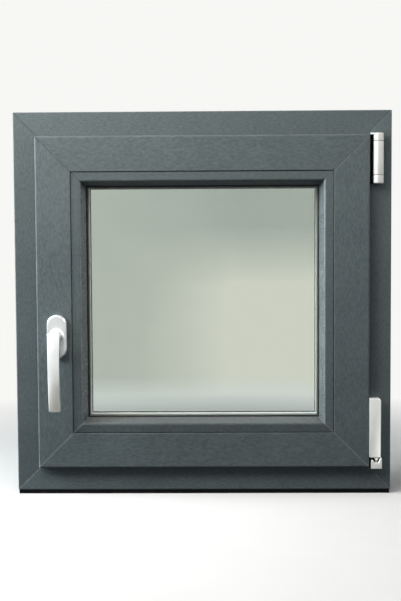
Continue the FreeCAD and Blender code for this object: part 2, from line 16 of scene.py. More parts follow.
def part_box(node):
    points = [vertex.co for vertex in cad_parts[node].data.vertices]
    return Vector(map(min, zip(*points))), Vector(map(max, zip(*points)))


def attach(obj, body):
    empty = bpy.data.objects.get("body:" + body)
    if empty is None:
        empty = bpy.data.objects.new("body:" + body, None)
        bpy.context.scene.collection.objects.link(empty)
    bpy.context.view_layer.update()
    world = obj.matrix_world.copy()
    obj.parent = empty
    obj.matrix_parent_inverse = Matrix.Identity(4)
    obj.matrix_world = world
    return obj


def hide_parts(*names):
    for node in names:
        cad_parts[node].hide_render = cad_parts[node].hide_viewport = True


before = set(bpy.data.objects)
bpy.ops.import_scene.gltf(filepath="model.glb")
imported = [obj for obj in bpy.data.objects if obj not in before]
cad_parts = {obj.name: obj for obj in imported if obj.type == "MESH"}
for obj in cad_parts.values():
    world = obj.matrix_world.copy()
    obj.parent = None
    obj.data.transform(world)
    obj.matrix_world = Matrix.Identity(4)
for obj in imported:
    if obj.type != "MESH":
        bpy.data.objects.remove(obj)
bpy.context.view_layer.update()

MM = 0.001
WINDOW, HANDLE = "window", "handle"

# %% [markdown]
# ## The camera
# The picture was taken a little from the right and from above, with a long lens. A camera can be placed
# by eye, or worked out from edges whose real sizes are known. The numbers here were worked out the second
# way: two angles, a distance and a small roll say where the camera stands, and the lens was found from
# the frame's width.

# %% Place the camera
AZIMUTH, ELEVATION, ROLL = math.radians(1.00), math.radians(3.91), math.radians(-0.33)
DISTANCE = 2.0
AIM = Vector((-0.00425, 0.0, 0.30952))
LENS_MM, SENSOR_MM = 73.7, 36.0

back = Vector((math.sin(AZIMUTH) * math.cos(ELEVATION), -math.cos(AZIMUTH) * math.cos(ELEVATION),
               math.sin(ELEVATION)))
level_right = (-back).cross(Vector((0, 0, 1))).normalized()
level_up = back.cross(level_right)
right = level_right * math.cos(ROLL) + level_up * math.sin(ROLL)
up = level_up * math.cos(ROLL) - level_right * math.sin(ROLL)

camera_data = bpy.data.cameras.new("camera")
camera_data.lens, camera_data.sensor_width = LENS_MM, SENSOR_MM
camera = bpy.data.objects.new("camera", camera_data)
bpy.context.scene.collection.objects.link(camera)
turn = Matrix((right, up, back)).transposed().to_4x4()
camera.matrix_world = Matrix.Translation(AIM + back * DISTANCE) @ turn
bpy.context.scene.camera = camera
print("camera at", [round(v, 3) for v in camera.location])

# %% [markdown]
# ## A short way to write shader nodes
# A material is a tree of nodes. Adding each node, its settings and its links takes many lines, so a few
# small helpers do it: settings are written once, and a value that is a socket becomes a link.

# %% Helpers: fill sockets, add a node
def plug(tree, node, sockets):
    for key, value in sockets.items():
        if isinstance(value, bpy.types.NodeSocket):
            tree.links.new(value, node.inputs[key])
        else:
            node.inputs[key].default_value = value


def add(tree, kind, sockets=None, **settings):
    node = tree.nodes.new("ShaderNode" + kind)
    for key, value in settings.items():
        setattr(node, key, value)
    plug(tree, node, sockets or {})
    return node


# %% Helpers: sums, ranges and patterns
def maths(tree, operation, first, second=0.0, third=0.0):
    return add(tree, "Math", {0: first, 1: second, 2: third}, operation=operation).outputs[0]


def fit(tree, value, low, high, new_low, new_high):
    return add(tree, "MapRange", {"Value": value, "From Min": low, "From Max": high,
                                  "To Min": new_low, "To Max": new_high}).outputs["Result"]


def parts_of(tree, vector):
    return add(tree, "SeparateXYZ", {0: vector}).outputs


def noise(tree, vector, scale, detail=2.0, roughness=0.5):
    return add(tree, "TexNoise", {"Vector": vector, "Scale": scale, "Detail": detail,
                                  "Roughness": roughness}).outputs[0]


def stretch(tree, vector, scale):
    return add(tree, "Mapping", {"Vector": vector, "Scale": scale}).outputs[0]


# %% Helpers: blend colours, press a relief
def opaque(colour):
    return colour if isinstance(colour, bpy.types.NodeSocket) else (*colour, 1)


def tint(tree, factor, under, over):
    # each colour is a socket, or red, green and blue
    mix = add(tree, "Mix", {"Factor": factor, "A": opaque(under), "B": opaque(over)}, data_type="RGBA")
    return mix.outputs["Result"]


def relief(tree, shader, height, distance, strength):
    bump = add(tree, "Bump", {"Height": height, "Distance": distance, "Strength": strength})
    plug(tree, shader, {"Normal": bump.outputs[0]})


# %% Helpers: start a shader group, use it, start a material
def shader_group(name, inputs, outputs):
    tree = bpy.data.node_groups.new(name, "ShaderNodeTree")
    for label, kind, value in inputs:
        socket = tree.interface.new_socket(label, in_out="INPUT", socket_type="NodeSocket" + kind)
        if value is not None:
            socket.default_value = value
    for label in outputs:
        tree.interface.new_socket(label, in_out="OUTPUT", socket_type="NodeSocketFloat")
    return tree, tree.nodes.new("NodeGroupInput").outputs, tree.nodes.new("NodeGroupOutput")


def use_group(tree, group, sockets):
    return add(tree, "Group", sockets, node_tree=group).outputs


def new_material(name):
    material = bpy.data.materials.new(name)
    material.use_nodes = True
    tree = material.node_tree
    tree.nodes.clear()
    shader = add(tree, "BsdfPrincipled")
    add(tree, "OutputMaterial", {"Surface": shader.outputs[0]})
    return material, tree, shader, add(tree, "TexCoord").outputs["Object"]


def show_instead(tree, surface):
    end = next(node for node in tree.nodes if node.bl_idname == "ShaderNodeOutputMaterial")
    plug(tree, end, {"Surface": surface})


def dress(name, material):
    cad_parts[name].material_slots[0].material = material


# %% [markdown]
# ## Shared effects
# Some effects come back in many finishes: the soft uneven tone that nothing real is without, the fine
# grain of moulded plastic, a paler tone on rounded edges, which is wear and, on the foil's uprights and
# on the metal, also a painted highlight, and dust that settles on what faces up. Each one is built once
# as a group with named inputs, so that every material can use it in its own strength.

# %% Group: cloudy tone
def make_cloud_group():
    tree, given, result = shader_group(
        "cloudy_tone", [("Vector", "Vector", None), ("Size", "Float", 0.05)], ["Tone"])
    scale = maths(tree, "DIVIDE", 1.0, given["Size"])
    soft = noise(tree, given["Vector"], scale, 4.0, 0.55)
    plug(tree, result, {"Tone": fit(tree, soft, 0.3, 0.7, 0.0, 1.0)})
    return tree


cloudy_tone = make_cloud_group()


def clouds(tree, place, size):
    return use_group(tree, cloudy_tone, {"Vector": place, "Size": size})["Tone"]


print("group made:", cloudy_tone.name)


# %% Group: wood grain pressed into foil
def make_grain_group():
    tree, given, result = shader_group(
        "foil_grain", [("Vector", "Vector", None), ("Pore Size", "Float", 0.0006)],
        ["Streaks", "Pores", "Height"])
    scale = maths(tree, "DIVIDE", 1.0, given["Pore Size"])
    pores = fit(tree, noise(tree, given["Vector"], scale, 3.0, 0.6), 0.50, 0.62, 0.0, 1.0)
    broad = noise(tree, given["Vector"], maths(tree, "MULTIPLY", scale, 0.36), 4.0, 0.7)
    streaks = fit(tree, broad, 0.36, 0.64, 0.0, 1.0)
    height = maths(tree, "SUBTRACT", maths(tree, "MULTIPLY", streaks, 0.8), pores)
    plug(tree, result, {"Streaks": streaks, "Pores": pores, "Height": height})
    return tree


foil_grain = make_grain_group()
print("group made:", foil_grain.name)


# %% Group: wear and painted highlight on rounded edges
def make_wear_and_highlight_group():
    # a rounded edge is where the surface faces none of the three main directions
    tree, given, result = shader_group(
        "edge_wear_and_highlight", [("Vector", "Vector", None), ("Patch Size", "Float", 0.01)], ["Wear"])
    facing = add(tree, "NewGeometry").outputs["Normal"]
    parts = parts_of(tree, add(tree, "VectorMath", {0: facing}, operation="ABSOLUTE").outputs[0])
    most = maths(tree, "MAXIMUM", maths(tree, "MAXIMUM", parts[0], parts[1]), parts[2])
    edge = fit(tree, most, 0.97, 0.8, 0.0, 1.0)
    patches = noise(tree, given["Vector"], maths(tree, "DIVIDE", 1.0, given["Patch Size"]), 3.0, 0.6)
    plug(tree, result, {"Wear": maths(tree, "MULTIPLY", edge, fit(tree, patches, 0.35, 0.75, 0.2, 1.0))})
    return tree


edge_wear_and_highlight = make_wear_and_highlight_group()


def worn_and_highlit_edges(tree, place, patch_size):
    return use_group(tree, edge_wear_and_highlight, {"Vector": place, "Patch Size": patch_size})["Wear"]


print("group made:", edge_wear_and_highlight.name)


# %% Group: dust on what faces up
DUST = (0.33, 0.33, 0.31)


def make_dust_group():
    tree, given, result = shader_group(
        "settled_dust", [("Vector", "Vector", None), ("Amount", "Float", 0.3)], ["Dust"])
    rise = parts_of(tree, add(tree, "NewGeometry").outputs["Normal"])[2]
    lying = fit(tree, rise, 0.5, 1.0, 0.0, 1.0)
    specks = fit(tree, noise(tree, given["Vector"], 700.0, 4.0, 0.7), 0.4, 0.75, 0.25, 1.0)
    plug(tree, result, {"Dust": maths(tree, "MULTIPLY", maths(tree, "MULTIPLY", lying, specks),
                                      given["Amount"])})
    return tree


settled_dust = make_dust_group()


def dusted(tree, place, colour, amount):
    dust = use_group(tree, settled_dust, {"Vector": place, "Amount": amount})["Dust"]
    return tint(tree, dust, colour, DUST)


print("group made:", settled_dust.name)


# %% Group: the fine skin of moulded plastic
def make_skin_group():
    tree, given, result = shader_group(
        "moulded_skin", [("Vector", "Vector", None), ("Grain Size", "Float", 0.0005)], ["Height", "Gloss"])
    scale = maths(tree, "DIVIDE", 1.0, given["Grain Size"])
    cells = add(tree, "TexVoronoi", {"Vector": given["Vector"], "Scale": scale}).outputs["Distance"]
    soft = noise(tree, given["Vector"], maths(tree, "MULTIPLY", scale, 0.15), 3.0)
    plug(tree, result, {"Height": maths(tree, "ADD", cells, soft), "Gloss": soft})
    return tree


moulded_skin = make_skin_group()


def press_skin(tree, shader, place, grain_size, depth, smooth, matt):
    # the same skin gives the fine relief and moves the roughness between two values
    skin = use_group(tree, moulded_skin, {"Vector": place, "Grain Size": grain_size})
    plug(tree, shader, {"Roughness": fit(tree, skin["Gloss"], 0.3, 0.7, smooth, matt)})
    relief(tree, shader, skin["Height"], depth, 0.5)


print("group made:", moulded_skin.name)

# %% [markdown]
# ## The pen line over a weld, and its painted highlight
# The members are welded at their mitres. The weld is cleaned off and touched up with a pen, which leaves
# a fine dark line at the upper left. At the lower corners the line turns pale: a painted highlight, as
# if light caught the weld groove. At the upper right it is hardly seen. It could be a strip of its own,
# but it has no thickness, so it is drawn in the colour: it lies where a corner's distances from the
# ring's two nearest edges are the same.

# %% Draw the pen line and its painted highlight
PEN_DARK = (0.055, 0.068, 0.073)
PEN_PAINTED_HIGHLIGHT = (0.300, 0.330, 0.338)
PEN_FULL, PEN_GONE = 0.0005, 0.0018
# between which distances from the ring's middle it fades to the right, and turns into a painted highlight
# below
PEN_FADES, PAINTED_HIGHLIGHT_SPAN = (-0.10, 0.35), (-0.35, -0.20)


def pen_line_and_highlight(tree, place, ring):
    low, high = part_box(ring + "_left")[0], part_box(ring + "_right")[1]
    centre = (low + high) / 2
    half = high - centre
    parts = parts_of(tree, place)
    rightward = maths(tree, "SUBTRACT", parts[0], centre.x)
    upward = maths(tree, "SUBTRACT", parts[2], centre.z)
    from_side, from_level = (maths(tree, "ABSOLUTE", way) for way in (rightward, upward))
    difference = maths(tree, "SUBTRACT", maths(tree, "SUBTRACT", from_side, from_level), half.x - half.z)
    patchy = fit(tree, noise(tree, place, 160.0, 3.0, 0.6), 0.35, 0.65, 0.35, 1.0)
    near = fit(tree, maths(tree, "ABSOLUTE", difference), PEN_FULL, PEN_GONE, 1.0, 0.0)
    line = maths(tree, "MULTIPLY", near, patchy)
    strength = fit(tree, maths(tree, "MULTIPLY_ADD", upward, 0.5, rightward), *PEN_FADES, 1.0, 0.0)
    # below, the line takes the colour of the painted highlight
    pale = fit(tree, maths(tree, "SUBTRACT", rightward, upward), *PAINTED_HIGHLIGHT_SPAN, 0.0, 1.0)
    return maths(tree, "MULTIPLY", line, strength), tint(tree, pale, PEN_DARK, PEN_PAINTED_HIGHLIGHT)


print("pen line up to", round(PEN_GONE / MM, 1), "mm from each mitre")

# %% [markdown]
# ## Foil
# The frame, sash and beads are plastic profiles wrapped in a dark grey film with a wood grain pressed
# into it. The film is rolled on along each profile before the corners are welded, so the grain runs up
# the uprights and along the rails. An image of wood would repeat and blur; noise, stretched along the
# member, doesn't. One function makes the finish for every member, each made lighter or darker by its own
# factor, which is painted light and shade. On the uprights the rounded edges are paler, from wear and a
# painted highlight.

# %% Foil finish
FOIL_DARK = (0.068, 0.088, 0.094)
FOIL_LIGHT = (0.118, 0.147, 0.152)
FOIL_WORN_AND_HIGHLIGHT = (0.210, 0.245, 0.252)
PORE_SIZE, PORE_DEPTH, GRAIN_STRETCH = 0.0009, 0.0003, 0.4
FOIL_CLOUD, FOIL_WEAR_PATCH, FOIL_DUST = 0.07, 0.02, 0.35
FOIL_SHINE, WIPED_SHINE, WIPED_SMOOTHER = 0.22, 0.6, 0.14


def foil(name, ring, upright, shade):
    material, tree, shader, place = new_material(name)
    lengthwise = stretch(tree, place, (1, 1, GRAIN_STRETCH) if upright else (GRAIN_STRETCH, 1, 1))
    grain = use_group(tree, foil_grain, {"Vector": lengthwise, "Pore Size": PORE_SIZE})
    cloud = clouds(tree, place, FOIL_CLOUD)
    tone = maths(tree, "MULTIPLY_ADD", grain["Streaks"], 0.75, maths(tree, "MULTIPLY", cloud, 0.25))
    # the member's shade scales the film's colours: painted light and shade
    dark, light = ([part * shade for part in film] for film in (FOIL_DARK, FOIL_LIGHT))
    colour = tint(tree, tone, dark, light)
    # on the uprights only, the rounded edges turn paler: wear, and a painted highlight along the edges
    if upright:
        colour = tint(tree, worn_and_highlit_edges(tree, place, FOIL_WEAR_PATCH), colour, FOIL_WORN_AND_HIGHLIGHT)
    line, pen = pen_line_and_highlight(tree, place, ring)
    colour = dusted(tree, place, tint(tree, line, colour, pen), FOIL_DUST)
    gloss = maths(tree, "MULTIPLY_ADD", grain["Pores"], 0.16, fit(tree, cloud, 0.0, 1.0, 0.36, 0.46))
    shine = FOIL_SHINE
    if ring == "bead" and upright:
        # the sloping side of an upright bead is wiped smooth each time the glass is cleaned
        sideways = parts_of(tree, add(tree, "NewGeometry").outputs["Normal"])[0]
        wiped = fit(tree, maths(tree, "ABSOLUTE", sideways), 0.3, 0.6, 0.0, 1.0)
        gloss = maths(tree, "MULTIPLY_ADD", wiped, -WIPED_SMOOTHER, gloss)
        shine = maths(tree, "MULTIPLY_ADD", wiped, WIPED_SHINE, FOIL_SHINE)
    plug(tree, shader, {"Base Color": colour, "Roughness": gloss, "Specular IOR Level": shine})
    relief(tree, shader, grain["Height"], PORE_DEPTH, 0.6)
    return material


# %% Wrap the members
# each member's film is made lighter or darker: painted light and shade, which evens out the lamps'
# fall-off over the frame and darkens the bottom bead, whose slope faces up
PAINTED_LIGHT_AND_SHADE = {"frame": {"left": 0.90, "right": 1.05, "top": 0.97, "bottom": 1.08},
          "sash": {"left": 1.03, "right": 1.00, "top": 0.99, "bottom": 1.00},
          "bead": {"left": 1.00, "right": 1.00, "top": 0.97, "bottom": 0.74}}
for ring, sides in PAINTED_LIGHT_AND_SHADE.items():
    for side, shade in sides.items():
        member = ring + "_" + side
        dress(member, foil(member + "_foil", ring, side in ("left", "right"), shade))
print("foiled members:", sum(len(sides) for sides in PAINTED_LIGHT_AND_SHADE.values()))

# %% [markdown]
# ## Rubber and plastic
# The seals are soft black rubber, squeezed out as a strip, so they are matt. The strip under the frame,
# the glazing blocks and the drain hoods are moulded or extruded plastic, and so is the pale spacer
# between the panes, which shows as a thin line of light round the glass. The hinge covers are lacquered
# silver. Each finish is one function, fed with its own colours and grain, because rubber and plastic
# differ in numbers more than in kind.

# %% Rubber finish
RUBBER_CLOUD, RUBBER_GRAIN, RUBBER_DEPTH, RUBBER_SHINE = 0.02, 0.0009, 0.00005, 0.25
LIGHT_DUST = 0.1


def rubber(name, dark, light):
    material, tree, shader, place = new_material(name)
    colour = dusted(tree, place, tint(tree, clouds(tree, place, RUBBER_CLOUD), dark, light), LIGHT_DUST)
    plug(tree, shader, {"Base Color": colour, "Specular IOR Level": RUBBER_SHINE})
    press_skin(tree, shader, place, RUBBER_GRAIN, RUBBER_DEPTH, smooth=0.55, matt=0.75)
    return material


black_rubber = rubber("black_rubber", (0.006, 0.006, 0.007), (0.012, 0.012, 0.013))
for name in ("bead_seal", "outdoor_glazing_seal", "overlap_seal", "stop_seal"):
    dress(name, black_rubber)
dress("edge_sealant", rubber("edge_sealant", (0.018, 0.018, 0.019), (0.030, 0.030, 0.031)))
print("seals dressed in", black_rubber.name)


# %% Moulded plastic finish
PLASTIC_CLOUD, PLASTIC_WEAR_PATCH, PLASTIC_WEAR = 0.03, 0.006, 0.35


def plastic(name, dark, light, rough, grain_size, depth, metallic=0.0, shine=0.5):
    material, tree, shader, place = new_material(name)
    paler = [min(1.0, part * 1.25 + 0.02) for part in light]
    wear = maths(tree, "MULTIPLY", worn_and_highlit_edges(tree, place, PLASTIC_WEAR_PATCH), PLASTIC_WEAR)
    worn = tint(tree, wear, tint(tree, clouds(tree, place, PLASTIC_CLOUD), dark, light), paler)
    plug(tree, shader, {"Base Color": dusted(tree, place, worn, LIGHT_DUST), "Metallic": metallic,
                        "Specular IOR Level": shine})
    press_skin(tree, shader, place, grain_size, depth, rough - 0.05, rough + 0.06)
    return material


# %% Dress the plastic pieces
# near black and hardly shiny: real black plastic, and on the hinge bracket and plate in the gaps beside the
# hinges also painted shade for those gaps
black_plastic = plastic("black_plastic", (0.003, 0.003, 0.004), (0.007, 0.007, 0.008),
                        rough=0.7, grain_size=0.0006, depth=0.00006, shine=0.08)
hood_plastic = plastic("hood_plastic", (0.050, 0.060, 0.064), (0.070, 0.082, 0.086),
                       rough=0.48, grain_size=0.0006, depth=0.00006)
silver_cover = plastic("silver_cover", (0.90, 0.91, 0.89), (0.96, 0.97, 0.94),
                       rough=0.40, grain_size=0.0004, depth=0.00002, metallic=0.7)
# the barrels take a much darker silver than the covers: painted shade, which holds back the lamp light
# their round sides catch
silver_barrel_painted_shade = plastic("silver_barrel_painted_shade", (0.52, 0.53, 0.51), (0.58, 0.59, 0.56),
                        rough=0.60, grain_size=0.0004, depth=0.00002, metallic=0.6)
spacer_plastic = plastic("spacer_plastic", (0.60, 0.62, 0.61), (0.66, 0.68, 0.67),
                         rough=0.5, grain_size=0.0006, depth=0.00003)
for name in ("base_strip", "handle_base_plate", "glazing_blocks", "upper_hinge_bracket",
             "lower_hinge_plate"):
    dress(name, black_plastic)
for name, material in (("drain_caps", hood_plastic), ("stay_arm_end", silver_cover),
                       ("spacer_bar", spacer_plastic)):
    dress(name, material)
print("plastics:", [m.name for m in bpy.data.materials if "plastic" in m.name or "silver" in m.name])

# %% [markdown]
# ## Metal
# The handle is aluminium, blasted and anodised to a satin silver, and the plate behind it is a shade
# darker. Rounded edges are paler, from wear and a painted highlight, the plate's bevel most of all. Under
# the anodised skin are the fine lines of brushing, which run along the lever. The hinge's pin, the spindle
# behind the handle and the screws round the frame are zinc plated steel. Noise drawn out thirty times
# makes such lines without an image.

# %% Metal finish
LINE_STRETCH, METAL_CLOUD, METAL_WEAR_PATCH, METAL_WEAR = 0.03, 0.018, 0.008, 0.5


def metal(name, dark, light, rough, line_size, line_depth, wear_and_highlight_gain=1.08):
    material, tree, shader, place = new_material(name)
    lines = noise(tree, stretch(tree, place, (1, 1, LINE_STRETCH)), 1.0 / line_size, 3.0, 0.65)
    cloud = clouds(tree, place, METAL_CLOUD)
    tone = maths(tree, "MULTIPLY_ADD", lines, 0.5, maths(tree, "MULTIPLY", cloud, 0.5))
    # rounded edges turn paler: wear, and a painted highlight
    paler = [min(1.0, part * wear_and_highlight_gain) for part in light]
    wear = maths(tree, "MULTIPLY", worn_and_highlit_edges(tree, place, METAL_WEAR_PATCH), METAL_WEAR)
    plug(tree, shader, {"Base Color": tint(tree, wear, tint(tree, tone, dark, light), paler),
                        "Metallic": 1.0,
                        "Roughness": fit(tree, tone, 0.2, 0.8, rough - 0.05, rough + 0.06)})
    relief(tree, shader, lines, line_depth, 0.4)
    return material


# %% Dress the metal pieces
satin_aluminium = metal("satin_aluminium", (0.90, 0.91, 0.92), (0.96, 0.97, 0.97),
                        rough=0.33, line_size=0.0005, line_depth=0.00001)
# the rosette's bevel is made much paler than the lever's edges: a painted highlight for its bright rim,
# with some wear
rosette_aluminium = metal("rosette_aluminium", (0.70, 0.71, 0.72), (0.78, 0.79, 0.79),
                          rough=0.34, line_size=0.0005, line_depth=0.00002, wear_and_highlight_gain=1.25)
plated_steel = metal("plated_steel", (0.50, 0.50, 0.49), (0.64, 0.64, 0.63),
                     rough=0.3, line_size=0.0009, line_depth=0.00002)
for name in ("upper_hinge_pin", "handle_spindle"):
    dress(name, plated_steel)
print("metals:", [m.name for m in bpy.data.materials if "steel" in m.name or "aluminium" in m.name])

# %% [markdown]
# ## Glass
# A double glazed unit is two panes of float glass. Glass is mostly what is seen through it and in it, so
# the material stays simple: full transmission and a very shallow waviness from the float bath, which
# softens what it mirrors. A trace of haze makes it look like real, wiped glass. Its faint green tint is
# the glass's own, but its soft change over the pane is painted reflection and shade: deeper above and at
# the left, clear at the lower right, cool at the foot.
# Light from a lamp can't find its way through a bent ray, so for shadow rays the pane is simply clear.
# Without that, the pale spacer between the panes would stay in the dark.

# %% Glass tint and painted reflection
GLASS_DEEP_PAINTED_SHADE = (0.67, 0.715, 0.70)
GLASS_CLEAR = (0.95, 0.955, 0.92)
GLASS_PAINTED_COOL = (0.95, 0.98, 1.0)
GLASS_SHADOW = (0.80, 0.84, 0.81)
LEFT_TO_RIGHT, TOP_TO_MIDDLE, MIDDLE_TO_FOOT = (-0.10, 0.05), (0.43, 0.33), (0.185, 0.145)
GLASS_CLOUD, GLASS_CLOUD_SHARE = 0.12, 0.12


def glass_tint_and_painted_reflection(tree, place):
    # the green tint is the glass's own; its spread over the pane is painted reflection and shade
    parts = parts_of(tree, place)
    across = fit(tree, parts[0], *LEFT_TO_RIGHT, 0.10, 1.0)
    down = fit(tree, parts[2], *TOP_TO_MIDDLE, 0.10, 1.0)
    left_share = fit(tree, parts[0], *LEFT_TO_RIGHT, 0.30, 0.0)
    share = maths(tree, "MULTIPLY_ADD", clouds(tree, place, GLASS_CLOUD), GLASS_CLOUD_SHARE,
                  maths(tree, "MULTIPLY_ADD", across, down, left_share))
    foot = fit(tree, parts[2], *MIDDLE_TO_FOOT, 0.0, 1.0)
    return tint(tree, foot, tint(tree, share, GLASS_DEEP_PAINTED_SHADE, GLASS_CLEAR), GLASS_PAINTED_COOL)


# %% Glass finish
HAZE_SCALE, WAVE_SCALE, WAVE_DEPTH, FLOAT_GLASS_IOR = 25.0, 9.0, 0.0006, 1.5


def make_glass():
    material, tree, shader, place = new_material("float_glass")
    haze = noise(tree, stretch(tree, place, (1, 1, 0.4)), HAZE_SCALE, 4.0, 0.6)
    waves = noise(tree, stretch(tree, place, (1, 1, 0.5)), WAVE_SCALE, 1.0)
    plug(tree, shader, {"Base Color": glass_tint_and_painted_reflection(tree, place), "Transmission Weight": 1.0,
                        "IOR": FLOAT_GLASS_IOR, "Roughness": fit(tree, haze, 0.35, 0.7, 0.02, 0.06)})
    relief(tree, shader, waves, WAVE_DEPTH, 0.3)
    clear_pane = add(tree, "BsdfTransparent", {"Color": (*GLASS_SHADOW, 1)})
    lit_through = add(tree, "MixShader", {0: add(tree, "LightPath").outputs["Is Shadow Ray"],
                                          1: shader.outputs[0], 2: clear_pane.outputs[0]})
    show_instead(tree, lit_through.outputs[0])
    return material


float_glass = make_glass()
for name in ("inner_pane", "outer_pane"):
    dress(name, float_glass)
print("glass tint and haze set on", float_glass.name)

# %% [markdown]
# ## Turning a mesh into a piece
# Each piece that is made here ends the same way: its mesh is closed, its faces point outwards, it takes
# a material, it rides on a body and it may stand for solids that it replaces.

# %% Helper: finish a piece
SHARP_FROM = math.radians(35)


def finish_piece(name, mesh, material, slot, body, *replaced):
    piece = bpy.data.objects.new(name, mesh)
    bpy.context.scene.collection.objects.link(piece)
    mesh.materials.clear()
    mesh.materials.append(material)
    mesh.shade_smooth()
    mesh.set_sharp_from_angle(angle=SHARP_FROM)
    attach(piece, body)
    if replaced:
        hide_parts(*replaced)
    low = [min(v.co[i] for v in mesh.vertices) for i in range(3)]
    high = [max(v.co[i] for v in mesh.vertices) for i in range(3)]
    print(name, "faces", len(mesh.polygons), "size in mm",
          [round((b - a) / MM, 1) for a, b in zip(low, high)])


# %% Helper: close rings of points to a skin
def mesh_from(name, shape):
    mesh = bpy.data.meshes.new(name)
    shape.to_mesh(mesh)
    shape.free()
    return mesh


def close_mesh(name, *skins):
    # a skin is rings of points, one after another, joined by faces and closed at both ends
    shape = bmesh.new()
    for rings in skins:
        rows = [[shape.verts.new(point) for point in ring] for ring in rings]
        count = len(rows[0])
        for one, two in zip(rows, rows[1:]):
            for index in range(count):
                after = (index + 1) % count
                shape.faces.new((one[index], one[after], two[after], two[index]))
        shape.faces.new(rows[0][::-1])
        shape.faces.new(rows[-1])
    bmesh.ops.recalc_face_normals(shape, faces=shape.faces)
    return mesh_from(name, shape)


# %% Helpers: circles and rounded ends
def circle(sides):
    angles = [2 * math.pi * i / sides for i in range(sides)]
    return [(math.cos(angle), math.sin(angle)) for angle in angles]


def round_off(radius, angles):
    # points of the quarter circle that rounds an edge, as distances from the two faces that meet there
    return [(radius * (1 - math.cos(angle)), radius * (1 - math.sin(angle))) for angle in angles]


# %% [markdown]
# ## The lever
# The grip is the part that a hand knows best, so it is built again with more sections than the solid
# has. Each section is a rectangle with round corners and a slightly swollen front. It is widest at the
# top, narrower half way and a little wider again at the end, and its front bows towards the room. A box
# could be bent and rounded, but joining measured sections, which is called lofting, follows the real
# curve. The neck behind it is turned: circles of changing size along the axis that it turns on.

# %% Measures of the handle
grip_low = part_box("handle_lever")[0]
rosette_low, rosette_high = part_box("handle_rosette")
AXIS_X = (rosette_low.x + rosette_high.x) / 2
AXIS_Z = (rosette_low.z + rosette_high.z) / 2
GRIP_ABOVE_AXIS = 0.0104
GRIP_TOP = AXIS_Z + GRIP_ABOVE_AXIS
GRIP_END = grip_low.z
GRIP_FRONT = grip_low.y
GRIP_WIDTHS = (0.0194, 0.0182, 0.0184)
GRIP_THICKNESS = (0.0130, 0.0105)
GRIP_BOW, BOW_LEVEL = 0.0110, 0.45
FRONT_CORNER, FRONT_CORNER_GAIN, BACK_CORNER = 0.0012, 0.0014, 0.0022
GRIP_CROWN = 0.0010
print("grip from", round(GRIP_TOP, 4), "down to", round(GRIP_END, 4), "front at", round(GRIP_FRONT, 4))


# %% One section of the grip
CORNER_STEPS, FRONT_STEPS = 6, 10


def crowned_section(half_width, front, back, front_radius, back_radius, crown):
    # a rectangle with round corners, whose front swells by the crown between its two front corners
    edge = front + crown
    corners = ((1, edge, 1, front_radius, 270), (1, back, -1, back_radius, 0),
               (-1, back, -1, back_radius, 90), (-1, edge, 1, front_radius, 180))
    points = []
    for x_side, y, y_side, radius, start in corners:
        for step in range(CORNER_STEPS + 1):
            angle = math.radians(start + 90 * step / CORNER_STEPS)
            points.append((x_side * (half_width - radius) + radius * math.cos(angle),
                           y + y_side * radius + radius * math.sin(angle)))
    for step in range(1, FRONT_STEPS):
        share = 2 * step / FRONT_STEPS - 1
        points.append((share * (half_width - front_radius), front + crown * share ** 2))
    return points


def grip_ring(z, inset):
    share = (GRIP_TOP - z) / (GRIP_TOP - GRIP_END)
    top, waist, end = (width / 2 for width in GRIP_WIDTHS)
    half = (top * (1 - share) * (1 - 2 * share) + waist * 4 * share * (1 - share)
            + end * share * (2 * share - 1))
    front = GRIP_FRONT + GRIP_BOW * ((share - BOW_LEVEL) / (1 - BOW_LEVEL)) ** 2 + inset
    thickness = GRIP_THICKNESS[0] + (GRIP_THICKNESS[1] - GRIP_THICKNESS[0]) * share
    outline = crowned_section(half - inset, front, front - 2 * inset + thickness,
                              FRONT_CORNER + FRONT_CORNER_GAIN * share, BACK_CORNER, GRIP_CROWN)
    return [(AXIS_X + x, y, z) for x, y in outline]


# %% All sections of the grip
TOP_ROUND, END_ROUND = 0.0036, 0.0024
ROUNDING = [math.radians(angle) for angle in (0, 12, 24, 36, 48, 60, 70, 80, 90)]
GRIP_STEPS = 32


def grip_rings():
    top = [grip_ring(GRIP_TOP - down, inset) for inset, down in round_off(TOP_ROUND, ROUNDING)]
    middle = [grip_ring(GRIP_TOP + (GRIP_END - GRIP_TOP) * step / GRIP_STEPS, 0)
              for step in range(2, GRIP_STEPS - 1)]
    end = [grip_ring(GRIP_END + rise, inset) for inset, rise in round_off(END_ROUND, ROUNDING)]
    return top[::-1] + middle + end


# %% The neck, and the whole lever
NECK_SIDES, BELL_STEPS = 48, 12
BELL_RADIUS, BELL_DRAWN_IN, BELL_START, BELL_LENGTH = 0.0130, 0.0050, 0.0016, 0.0134
# radius and distance from the rosette, of the rim over the rosette and of the neck up to the grip
RIM = [(0.0122, 0.0), (0.0128, 0.0003), (0.0130, 0.0008), (0.0130, 0.0014)]
NECK_END = [(0.0080, 0.0250), (0.0081, 0.0280), (0.0084, 0.0300), (0.0088, 0.0314)]
RIM_GAP, FLARE_START, FLARE_LENGTH, FLARE_HEIGHT = 0.0004, 0.025, 0.0064, 0.05


def neck_rings():
    # a rim, a bell that narrows to a round neck, and a flare into the grip, a little higher than wide
    rim_y = rosette_low.y - RIM_GAP
    turns = [math.pi / 2 * step / BELL_STEPS for step in range(1, BELL_STEPS + 1)]
    bell = [(BELL_RADIUS - BELL_DRAWN_IN * math.sin(angle),
             BELL_START + BELL_LENGTH * (1 - math.cos(angle))) for angle in turns]
    rings = []
    for radius, depth in RIM + bell + NECK_END:
        taller = 1 + FLARE_HEIGHT * max(0.0, (depth - FLARE_START) / FLARE_LENGTH)
        rings.append([(AXIS_X + radius * across, rim_y - depth, AXIS_Z + radius * above * taller)
                      for across, above in circle(NECK_SIDES)])
    return rings


finish_piece("lever", close_mesh("lever", grip_rings(), neck_rings()), satin_aluminium,
             "brushed_aluminium", HANDLE, "handle_lever")

